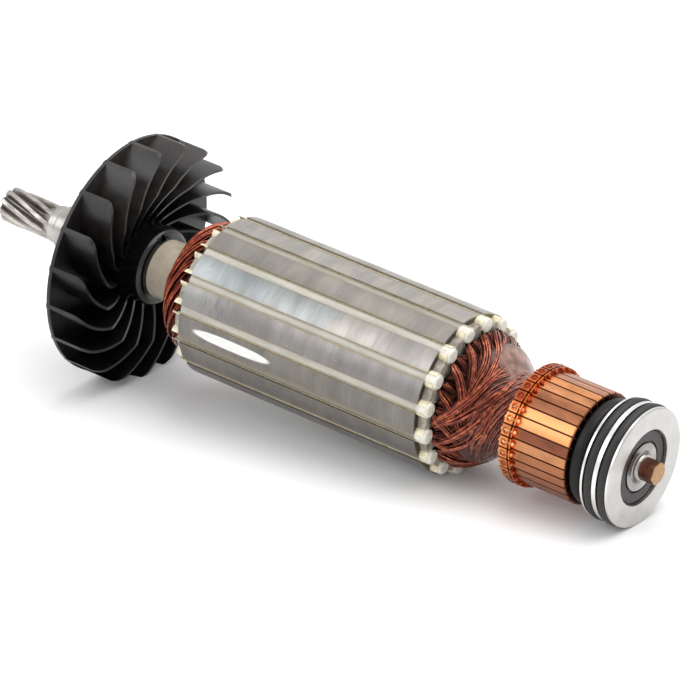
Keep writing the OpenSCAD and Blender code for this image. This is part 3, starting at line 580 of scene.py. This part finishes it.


# Turned commutator copper: each bar has its own tone of painted light and shade, with heat tint at the riser,
# weld craters, and reddish edges and recesses as painted shade
def turnedCopper():
    material, tree, surface, place = newMaterial(
        "turnedCopper", Metallic=1.0, Roughness=0.3, Anisotropic=0.4
    )
    along, radius, angle = shaftPolar(tree, place)
    own = stepMiddle(tree, angle, barStart, barStep)
    offset = stepOffset(tree, angle, barStart + barStep / 2, barStep)
    cloud = uneven(tree, place, 4, 4, 0.6, (0.5, 1, 1))
    # Each bar's tone is painted light and shade by its angle
    colour = tonesOver(tree, own, [(middle, barCoppers[tone]) for middle, tone in barTones])
    film = tonesOver(tree, cloud, [(0.32, 0.82), (0.5, 1), (0.7, 1.12)])
    colour = addNode(tree, "Mix", {0: 1, 6: colour, 7: film}, data_type="RGBA", blend_type="MULTIPLY")

    # Riser: orange flange with painted light and shade by angle, heat tint reaching onto the track, and a
    # painted highlight on the back edge
    flange = tonesOver(tree, along, [(riser["front"], 0.85), (riser["front"] + 0.3, 0)])
    flangeLight = tonesOver(tree, angle, flangeLightAndShade)
    colour = addNode(tree, "Mix", {0: flange, 6: colour, 7: flangeLight}, data_type="RGBA")
    heat = addNode(tree, "Math", {0: cloud, 1: 1.6, 2: along}, operation="MULTIPLY_ADD")
    reach = [(riser["front"] - 1.2, 0), (riser["front"] + 0.4, 0.85), (riser["front"] + 3, 0)]
    glow = tonesOver(tree, heat, reach)
    colour = addNode(tree, "Mix", {0: glow, 6: colour, 7: "#dc7838"}, data_type="RGBA")
    backEdgeHighlight = tonesOver(tree, along, [(riser["back"] + 0.25, 0.8), (riser["back"] + 0.7, 0)])
    colour = addNode(tree, "Mix", {0: backEdgeHighlight, 6: colour, 7: "#ecc7a6"}, data_type="RGBA")

    # Weld craters: dark rim, bright centre
    aside = addNode(tree, "Math", {0: offset, 1: riser["radius"] * math.pi / 180}, operation="MULTIPLY")
    ahead = addNode(tree, "Math", {0: along, 1: riser["weld"]}, operation="SUBTRACT")
    spot = addNode(tree, "CombineXYZ", {0: aside, 1: ahead})
    spot = addNode(tree, "VectorMath", {0: spot}, operation="LENGTH")
    ripple = uneven(tree, place, 1.1, 2)
    ragged = addNode(tree, "Math", {0: ripple, 1: 0.9, 2: spot}, operation="MULTIPLY_ADD")
    rim = tonesOver(tree, ragged, crater["rim"])
    colour = addNode(tree, "Mix", {0: rim, 6: colour, 7: "#8a2a10"}, data_type="RGBA")
    centre = tonesOver(tree, ragged, crater["centre"])
    colour = addNode(tree, "Mix", {0: centre, 6: colour, 7: "#ffc080"}, data_type="RGBA")
    # Painted shade in the turned groove of the riser
    groove = addNode(tree, "Math", {0: along, 1: riser["groove"]}, operation="SUBTRACT")
    groove = addNode(tree, "Math", {0: groove}, operation="ABSOLUTE")
    grooveShade = tonesOver(tree, groove, [(0.2, 0.9), (0.5, 0)])
    colour = addNode(tree, "Mix", {0: grooveShade, 6: colour, 7: "#4a1509"}, data_type="RGBA")

    # Painted shade on the slot edges and on everything below the track's surface
    edge = addNode(tree, "Math", {0: offset}, operation="ABSOLUTE")
    slotEdgeShade = tonesOver(tree, edge, [(4.2, 0), (5, 0.7)])
    colour = addNode(tree, "Mix", {0: slotEdgeShade, 6: colour, 7: "#8a4429"}, data_type="RGBA")
    sunk = tonesOver(tree, radius, [(trackRadius - 0.5, 1), (trackRadius - 0.15, 0)])

    # Tool marks drawn 0.3 mm apart so that they show
    turns = toolMarks(tree, along, trackMetal["toolMark"])
    marks = addNode(tree, "Math", {0: cloud, 1: 3, 2: turns}, operation="MULTIPLY_ADD")
    depth = trackMetal["markDepth"] * mm
    fillInputs(surface, {
        "Base Color": addNode(tree, "Mix", {0: sunk, 6: colour, 7: "#4a2013"}, data_type="RGBA"),
        "Roughness": tonesOver(tree, cloud, [(0.3, 0.26), (0.7, 0.4)]),
        "Normal": addNode(tree, "Bump", {"Height": marks, "Distance": depth, "Strength": 0.5}),
    })
    return material


# A painted sheen lies on the fan's blades that were uppermost, by angle and by radius, on top of an even
# dust. The collar is polished.
fanSheenAndPolish = {
    "upperSheen": [(20, 0), (60, 1), (125, 1), (152, 0)],
    "outward": [(19, 0), (25, 1)],
    "polish": [(15.5, 1), (16.5, 0)],
}


# Moulded glass-filled nylon: black, satin, with a fine mould grain and dusty streaks
def mouldedNylon():
    material, tree, surface, place = newMaterial("mouldedNylon", Roughness=0.36)
    radius, angle = shaftPolar(tree, place)[1:]
    cloud = uneven(tree, place, 7, 4, 0.6)
    grain = uneven(tree, place, 0.45, 3, 0.6)
    black = tonesOver(tree, cloud, [(0.3, "#070606"), (0.7, "#110f0e")])
    dust = tonesOver(tree, uneven(tree, place, 0.8, 6, 0.75), [(0.6, 0), (0.8, 0.25)])
    # The uppermost blades carry a painted sheen, added to the dust
    upperSheen = tonesOver(tree, angle, fanSheenAndPolish["upperSheen"])
    outward = tonesOver(tree, radius, fanSheenAndPolish["outward"])
    upperSheen = addNode(tree, "Math", {0: upperSheen, 1: outward}, operation="MULTIPLY")
    patchy = tonesOver(tree, cloud, [(0.35, 0.2), (0.7, 0.5)])
    dust = addNode(tree, "Math", {0: upperSheen, 1: patchy, 2: dust}, operation="MULTIPLY_ADD")
    polish = tonesOver(tree, radius, fanSheenAndPolish["polish"])
    satin = tonesOver(tree, cloud, [(0.3, 0.3), (0.72, 0.46)])
    fillInputs(surface, {
        "Base Color": addNode(tree, "Mix", {0: dust, 6: black, 7: "#4a4643"}, data_type="RGBA"),
        "Roughness": addNode(tree, "Mix", {0: polish, 2: satin, 3: 0.2}),
        "Normal": addNode(tree, "Bump", {"Height": grain, "Distance": 0.02 * mm, "Strength": 0.35}),
    })
    return material


# Plain moulded plastic, mica and resin parts
def mouldedPlastic(name, dark, light, rough, grainSize=0.6):
    material, tree, surface, place = newMaterial(name, Roughness=rough)
    cloud = uneven(tree, place, 4, 4, 0.6)
    grain = uneven(tree, place, grainSize)
    fillInputs(surface, {
        "Base Color": tonesOver(tree, cloud, [(0.3, dark), (0.7, light)]),
        "Roughness": tonesOver(tree, cloud, [(0.3, rough - 0.07), (0.7, rough + 0.08)]),
        "Normal": addNode(tree, "Bump", {"Height": grain, "Distance": 0.02 * mm, "Strength": 0.4}),
    })
    return material


finishes = {
    "turnedAluminium": turnedAluminium(),
    "oRingRubber": nitrileRubber("oRingRubber", "#0e0d0c", "#2b2826", 0.46),
    "sealRubber": nitrileRubber("sealRubber", "#262221", "#454140", 0.45),
    "discRubber": nitrileRubber("discRubber", "#040302", "#100d0b", 0.42, 0.3),
    "bearingSteel": groundSteel(),
    "hobbedSteel": hobbedSteel(),
    "bronzedStub": bronzedStub(),
    "sheetStack": groundSheetStack(),
    "resinedFibre": resinedFibre(),
    "slotRod": slotRod(),
    "slotPaper": slotPaper(),
    "rearWire": enamelledCopper("rearWire", "#54160a", "#923a1c", "#d87c50", rearDome, 0.55),
    "rearLead": enamelledCopper("rearLead", "#5e2519", "#86402d", "#aa6049", rearDome, 0.5),
    "frontWire": enamelledCopper("frontWire", "#5c1a08", "#9e3c18", "#d8713f", frontDome),
    # Near-black copper, painted as shade, for the wires deep in the slots and in the front coil end
    "buriedWire": enamelledCopper("buriedWire", "#1a0603", "#2c0e07", "#44180d"),
    "meltedCopper": meltedCopper(),
    "drippedResin": drippedResin(),
    "turnedCopper": turnedCopper(),
    "mouldedNylon": mouldedNylon(),
    "sleevePlastic": mouldedPlastic("sleevePlastic", "#aca08e", "#c0b4a2", 0.34, 1.5),
    "cagePlastic": mouldedPlastic("cagePlastic", "#a3946c", "#bfae82", 0.4),
    "undercutMica": mouldedPlastic("undercutMica", "#2c1209", "#4a2414", 0.6),
    "mouldingResin": mouldedPlastic("mouldingResin", "#2a1a12", "#3a281e", 0.5),
}

nodeFinish = {
    "bearing_carrier": "turnedAluminium",
    "o_ring_front": "oRingRubber",
    "o_ring_rear": "oRingRubber",
    "bearing_outer_ring": "bearingSteel",
    "bearing_seal_front": "sealRubber",
    "bearing_seal_rear": "sealRubber",
    "bearing_balls": "bearingSteel",
    "bearing_cage": "cagePlastic",
    "bearing_inner_ring": "bearingSteel",
    "shaft": "hobbedSteel",
    "end_stub": "bronzedStub",
    "shaft_sleeve": "sleevePlastic",
    "fan": "mouldedNylon",
    "core_laminations": "sheetStack",
    "spider_drive_end": "resinedFibre",
    "spider_commutator_end": "resinedFibre",
    "slot_liners": "slotPaper",
    "slot_rods": "slotRod",
    "slot_conductors": "buriedWire",
    "winding_drive_end": "frontWire",
    "winding_commutator_end": "rearWire",
    "lead_band": "drippedResin",
    "commutator_bars": "turnedCopper",
    "commutator_mica": "undercutMica",
    "commutator_moulding": "mouldingResin",
    "commutator_bush": "bearingSteel",
    "riser_leads": "meltedCopper",
    "rubber_disc": "discRubber",
}

for name, finish in nodeFinish.items():
    slots = nodes[name].data.materials
    if len(slots) == 0:
        slots.append(finishes[finish])
    for i in range(len(slots)):
        slots[i] = finishes[finish]
print("Stage: finishes on", len(nodeFinish), "nodes")


# Windings


def shaftPoint(x, r, degrees):
    a = math.radians(degrees)
    return Vector((x, r * math.cos(a), r * math.sin(a))) * mm


def between(table, x):
    if x <= table[0][0]:
        return table[0][1]
    for (x0, y0), (x1, y1) in zip(table, table[1:]):
        if x <= x1:
            return y0 + (y1 - y0) * (x - x0) / (x1 - x0)
    return table[-1][1]


# Point at a depth under a turned outline, measured square to its surface
def underOutline(outline, x, degrees, depth):
    reach = 0.8
    fall = between(outline, x - reach) - between(outline, x + reach)
    lean = math.atan2(fall, 2 * reach)
    return shaftPoint(x - depth * math.sin(lean), between(outline, x) - depth * math.cos(lean), degrees)


# Smooth run through the places of a route, with the same number of steps between each pair
def smoothRun(route, parts=5):
    ends = [route[0], *route, route[-1]]
    run = []
    for before, start, end, after in zip(ends, ends[1:], ends[2:], ends[3:]):
        for k in range(parts):
            t = k / parts
            place = []
            for p, a, b, n in zip(before, start, end, after):
                square = 2 * p - 5 * a + 4 * b - n
                cube = 3 * a - p - 3 * b + n
                place.append(a + 0.5 * ((b - p) * t + square * t**2 + cube * t**3))
            run.append(place)
    run.append(list(route[-1]))
    return run


# One curve object holds all the wires of a layer, and becomes a mesh when they are laid
def startWires(name, wireRadius):
    bpy.ops.curve.primitive_bezier_curve_add(location=(0, 0, 0))
    wires = bpy.context.object
    wires.name = name
    wires.data.splines.clear()
    wires.data.dimensions = "3D"
    wires.data.bevel_depth = wireRadius * mm
    wires.data.bevel_resolution = 1
    wires.data.use_fill_caps = True
    return wires


def layWire(wires, points):
    spline = wires.data.splines.new("POLY")
    spline.points.add(len(points) - 1)
    for place, point in zip(spline.points, points):
        place.co = (*point, 1)


def finishWires(wires, finish, *solids):
    bpy.ops.object.select_all(action="DESELECT")
    wires.select_set(True)
    bpy.context.view_layer.objects.active = wires
    bpy.ops.object.convert(target="MESH")
    wires = bpy.context.object
    bpy.ops.object.shade_smooth()
    wires.data.materials.clear()
    wires.data.materials.append(finish)
    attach(wires, "rotor")
    if solids:
        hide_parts(*solids)
    print("Stage:", wires.name, "has", len(wires.data.polygons), "faces")


# How every coil's wires wander: drift and layers are shares of the pitch, lift is in millimetres, and the
# wires are squeezed together over the first and the last sixth of the route
wander = {"leastDrift": 0.2, "lift": 0.2, "waves": 6, "endParts": 6, "layerShift": 0.5, "nesting": 0.85}


# Lays the wires of one coil side by side along a route of places along the shaft, angles and depths.
# They leave and enter the slots squeezed together, wander a little and lie deeper at the coil's sides.
def layBundle(wires, outline, route, turn, bundle):
    run = smoothRun(route)
    last = len(run) - 1
    middle = (bundle["across"] - 1) / 2
    pitch = bundle["pitch"]
    for layer in range(bundle["layers"]):
        for column in range(bundle["across"]):
            phase = random.uniform(0, 2 * math.pi)
            drift = random.uniform(wander["leastDrift"], bundle["drift"])
            lift = random.uniform(-wander["lift"], wander["lift"])
            side = column - middle + wander["layerShift"] * (layer % 2)
            points = []
            for i, (x, angle, depth) in enumerate(run):
                share = i / last
                before = run[max(i - 1, 0)]
                after = run[min(i + 1, last)]
                r = between(outline, x)
                ahead = after[0] - before[0]
                around = math.radians(after[1] - before[1]) * r
                length = math.hypot(ahead, around)
                spread = min(1, share * wander["endParts"], (1 - share) * wander["endParts"])
                squeeze = bundle["squeeze"] + (1 - bundle["squeeze"]) * spread
                aside = (side + drift * math.sin(phase + wander["waves"] * share)) * pitch * squeeze
                deep = depth + lift + layer * pitch * wander["nesting"]
                deep += bundle["crown"] * (side / middle) ** 2
                degrees = angle + turn + math.degrees(aside * ahead / length / r)
                # A wire that would stand out past the coil's end is folded under the others
                x -= aside * around / length
                beyond = max(0, bundle["end"] - x)
                points.append(underOutline(outline, x + beyond, degrees, deep + beyond))
            layWire(wires, points)


# Closed skin rolled round the shaft from a list of places along it and radii
def rollSkin(name, profile, turns, rise, finish):
    bpy.ops.mesh.primitive_grid_add(x_subdivisions=len(profile), y_subdivisions=turns, size=2)
    skin = bpy.context.object
    skin.name = name
    for vertex in skin.data.vertices:
        station = round((vertex.co.x + 1) / 2 * len(profile)) % len(profile)
        degrees = (vertex.co.y + 1) / 2 * 360
        x, r = profile[station]
        vertex.co = shaftPoint(x, r + rise(x, r, degrees), degrees)
    bpy.ops.object.mode_set(mode="EDIT")
    bpy.ops.mesh.select_all(action="SELECT")
    bpy.ops.mesh.remove_doubles(threshold=0.00001)
    bpy.ops.mesh.normals_make_consistent(inside=False)
    bpy.ops.object.mode_set(mode="OBJECT")
    bpy.ops.object.shade_smooth()
    skin.data.materials.append(finish)
    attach(skin, "rotor")
    print("Stage:", name, "has", len(skin.data.polygons), "faces")


# Wires across a coil and their layers; pitch, crown and end in millimetres, squeeze and drift as shares
rearBundle = {"across": 6, "layers": 2, "pitch": 0.62, "squeeze": 0.55, "crown": 1.5, "drift": 0.45}
rearBundle["end"] = -70
leadBundle = {"across": 4, "layers": 1, "pitch": 0.66, "squeeze": 0.5, "crown": 0.8, "drift": 0.5}
leadBundle["end"] = -70
rearWireRadius = 0.33

# The coil that leaves every slot upward, from its slot's angle
rearCoil = [(-66.9, 4, 1.8), (-66, 5, 0.9), (-64.2, 8, 0.35), (-61.2, 14, 0.2), (-58.8, 24, 0.3)]
rearCoil += [(-57.2, 38, 0.6), (-56.4, 56, 1.1), (-56.2, 75, 1.7), (-56.8, 100, 2.2), (-57.8, 120, 2.4)]
rearCoil += [(-59, 132, 2.4), (-60.5, 142, 2.2), (-62.5, 148, 1.8), (-64.6, 151.5, 1.7), (-66.9, 153, 2.2)]

# The other coil side of every slot, seen in the gaps, which runs straight and dives under the rest
innerCoil = [(-66.9, -0.5, 2), (-65.6, -0.5, 1.1), (-63.8, 0, 0.9), (-61.8, 1.5, 1.3), (-59.6, 4, 2.3)]

# The coils wound last, which cross over the others on both sides of the shaft
lastCoils = [
    [(-67, 85, 2), (-65.2, 89, 0.8), (-62, 95, 0.1), (-59, 103, 0), (-57, 115, 0), (-56.5, 130, 0.2),
     (-56.8, 152, 0.7), (-58.5, 180, 1.3), (-61.5, 210, 1.6), (-64.5, 228, 1.8), (-66.8, 234, 2.2)],
    [(-66.8, 66, 2), (-64.5, 72, 0.5), (-60.2, 84, -0.1), (-57.5, 92, -0.2), (-55.5, 105, -0.2),
     (-54.5, 122, 0), (-54.6, 139, 0.4), (-55.5, 155, 0.8), (-58, 180, 1.2), (-62, 200, 1.6),
     (-66.8, 209, 2.2)],
    [(-66.6, 187, 1.8), (-65.5, 183, 0.6), (-60.3, 169, -0.3), (-57.2, 156, -0.5), (-55.5, 146, -0.5),
     (-54.4, 132, -0.4), (-53.8, 118, -0.3), (-53.6, 103, 0.1), (-54.2, 87, 0.5), (-56.5, 73, 0.8),
     (-60, 60, 0.9), (-64, 48, 1), (-66.8, 42, 2)],
    [(-66, 208, 1.6), (-62.5, 200, 0.3), (-59, 194, -0.1), (-55, 182, -0.2), (-52, 166, -0.2),
     (-50.5, 145, -0.1), (-50, 134, 0), (-49.5, 112, 0.2), (-49, 90, 0.5)],
]

# Thin groups of leads that run on to the commutator
leadRoutes = [
    [(-64.7, 185, 0.6), (-61.3, 179, -0.2), (-57.8, 173, -0.3), (-54.2, 160, -0.3), (-52.1, 149, -0.3),
     (-51, 137, -0.2), (-49.5, 123, -0.1), (-49.3, 102, 0.1), (-50.2, 73, 0.6)],
    [(-65, 212, 0.8), (-58.7, 206, -0.1), (-55.3, 200, -0.2), (-52.9, 191, -0.2), (-51, 180, -0.1),
     (-49.4, 153, 0.2)],
    [(-65, 216, 0.9), (-61.6, 222, 0.1), (-58.5, 233, 0), (-55, 246, 0.5)],
    [(-55, 215, 0.5), (-52, 202, 0), (-51, 190, 0), (-50, 175, 0), (-50, 147, 0.3)],
]


def layRearWinding():
    slack = 1.5
    coils = startWires("windingRearCoils", rearWireRadius)
    innerCoils = startWires("windingRearInnerCoils", rearWireRadius)
    for slot in range(slotCount):
        turn = slotStart + slot * slotStep + random.uniform(-slack, slack)
        layBundle(coils, rearDome, rearCoil, turn, rearBundle)
        layBundle(innerCoils, rearDome, innerCoil, turn, rearBundle)
    finishWires(coils, finishes["rearWire"], "winding_commutator_end")
    finishWires(innerCoils, finishes["rearWire"])
    crossing = startWires("windingRearLastCoils", rearWireRadius)
    for turn in (0, 180):
        for route in lastCoils:
            layBundle(crossing, rearDome, route, turn, rearBundle)
        for route in leadRoutes:
            layBundle(crossing, rearDome, route, turn, leadBundle)
    finishWires(crossing, finishes["rearWire"])


layRearWinding()

# Places and depths in millimetres, angles in degrees
leadBand = {"leads": 64, "back": -54.8, "front": -42.6, "sweep": 112, "bend": 1.5, "parts": 30}
leadBand |= {"slack": 1, "astray": 0.8, "sway": 2, "waves": 5, "sunk": 0.28, "lift": 0.5}


# Single leads, half sunk in their resin, that wind down the neck and end in the riser's slots
def layLeads():
    leads = startWires("windingLeads", rearWireRadius)
    for lead in range(leadBand["leads"]):
        slack = random.uniform(-leadBand["slack"], leadBand["slack"])
        angle = barStart + 360 * lead / leadBand["leads"] + slack
        astray = random.uniform(-leadBand["astray"], leadBand["astray"])
        points = []
        for i in range(leadBand["parts"] + 1):
            share = i / leadBand["parts"]
            x = leadBand["front"] + (leadBand["back"] + astray - leadBand["front"]) * share
            # The leads leave the riser almost along the shaft and turn round the neck farther back
            degrees = angle + leadBand["sweep"] * share ** leadBand["bend"]
            degrees += leadBand["sway"] * math.sin(leadBand["waves"] * share + astray)
            depth = leadBand["sunk"] + leadBand["lift"] * astray * share * (1 - share)
            points.append(underOutline(rearDome, x, degrees, depth))
        layWire(leads, points)
    finishWires(leads, finishes["rearLead"])


layLeads()

resinPool = [(-66.6, 15), (-66.5, 19), (-64.5, 20), (-62.7, 20), (-61, 19.6), (-59.3, 19), (-57.7, 18.3)]
resinPool += [(-56.3, 17.7), (-55, 16.8), (-53.8, 15.8), (-52.7, 14.9), (-51.6, 14.1), (-50.6, 13.5)]
resinPool += [(-49.5, 13.2), (-48.4, 12.9), (-48.4, 10.3), (-66.6, 10.3)]

# Thick resin lies between two places along the shaft, outside a radius and about two angles
thickResin = {"back": -61, "backFade": 2.5, "front": -49, "frontFade": 1.5, "innermost": 12.6}
thickResin |= {"height": 2.265, "slope": 0.115}
resinPatches = [
    {"angle": 66, "reach": 40, "plateau": 1.5, "share": 1},
    {"angle": 225, "reach": 36, "plateau": 1.2, "share": 0.7},
]


# Height of the resin over the pool's plain outline, which falls toward the neck
def resinRise(x, r, degrees):
    if r < thickResin["innermost"] or x < thickResin["back"] or x > thickResin["front"]:
        return 0
    fade = min(1, (x - thickResin["back"]) / thickResin["backFade"])
    fade = min(fade, (thickResin["front"] - x) / thickResin["frontFade"])
    height = thickResin["height"] - thickResin["slope"] * (x - thickResin["back"])
    most = 0
    for patch in resinPatches:
        aside = (degrees - patch["angle"]) / patch["reach"]
        most = max(most, patch["share"] * min(1, patch["plateau"] - aside**2))
    return height * fade * most


rollSkin("windingResinPool", resinPool, 120, resinRise, finishes["drippedResin"])

frontBundle = {"across": 4, "layers": 2, "pitch": 0.95, "squeeze": 0.6, "crown": 0.9, "drift": 0.45}
frontBundle["end"] = -177.3
frontWireRadius = 0.4

frontCoil = [(-167.2, 0, 2.4), (-168, 4, 1.3), (-169.9, 12, 0.4), (-172.6, 26, 0.1), (-175, 44, 0.1)]
frontCoil += [(-176.6, 66, 0.4), (-176.2, 88, 0.9), (-174.2, 106, 1.3), (-171.2, 121, 1.6), (-168.6, 131, 2)]
frontCoil += [(-167.2, 135, 2.6)]

# The wires deep in the coil end, drawn as one skin that is painted near black as painted shade
frontCore = [(-167.6, 11), (-167.6, 19.6), (-170, 20.6), (-172.5, 20), (-174.8, 18.8), (-176.2, 17)]
frontCore += [(-176.8, 14.6), (-176.6, 11), (-172, 10.3)]


def noRise(x, r, degrees):
    return 0


def layFrontWinding():
    slack = 2
    wires = startWires("windingFrontCoils", frontWireRadius)
    for slot in range(slotCount):
        turn = slotStart + slot * slotStep + random.uniform(-slack, slack)
        layBundle(wires, frontDome, frontCoil, turn, frontBundle)
    finishWires(wires, finishes["frontWire"], "winding_drive_end")
    rollSkin("windingFrontCore", frontCore, 96, noRise, finishes["buriedWire"])


layFrontWinding()


# Studio

# The armature rests on its O-rings and its fan, so the floor isn't level with the shaft
floor = {"height": -20.02, "size": 6.0, "normal": Vector((-0.10187, 0, 0.99480))}


def buildFloor():
    bpy.ops.mesh.primitive_plane_add(size=floor["size"], location=(0, 0, 0))
    sheet = bpy.context.object
    sheet.name = "studioFloor"
    turn = Vector((0, 0, 1)).rotation_difference(floor["normal"]).to_matrix().to_4x4()
    sheet.data.transform(Matrix.Translation(floor["normal"] * floor["height"] * mm) @ turn)
    material, tree, surface, place = newMaterial("paintedFloor", Roughness=0.55)
    grain = uneven(tree, place, 3)
    fillInputs(surface, {
        "Base Color": "#f4f4f4",
        "Specular IOR Level": 0.2,
        "Normal": addNode(tree, "Bump", {"Height": grain, "Distance": 0.01 * mm, "Strength": 0.2}),
    })
    sheet.data.materials.append(material)


# The lights' places are in metres, and both look at the middle of the armature
ceilingPanel = {"place": (0.15, 0.3, 1.5), "width": 1.6, "depth": 1.6, "power": 18, "colour": "#ffffff"}
leftWindow = {"place": (-0.93, -1.1, 0.83), "width": 1.1, "depth": 1.0, "power": 5.5, "colour": "#f4f6fa"}
lookAt = Vector((-0.12, 0.0, 0.0))
roomLight = 0.95


def addSoftbox(name, box):
    bpy.ops.object.light_add(type="AREA", location=box["place"])
    light = bpy.context.object
    light.name = name
    light.data.shape = "RECTANGLE"
    light.data.size = box["width"]
    light.data.size_y = box["depth"]
    light.data.energy = box["power"]
    light.data.color = linear(box["colour"])[:3]
    aim = lookAt - Vector(box["place"])
    light.rotation_euler = aim.to_track_quat("-Z", "Y").to_euler()


buildFloor()
addSoftbox("ceilingPanel", ceilingPanel)
addSoftbox("leftWindow", leftWindow)

world = bpy.data.worlds.new("studioWorld")
bpy.context.scene.world = world
world.use_nodes = True
fillInputs(world.node_tree.nodes["Background"], {0: "#ffffff", 1: roomLight})
bpy.context.scene.view_settings.view_transform = "Standard"
bpy.context.scene.view_settings.look = "None"
print("Stage: studio ready")
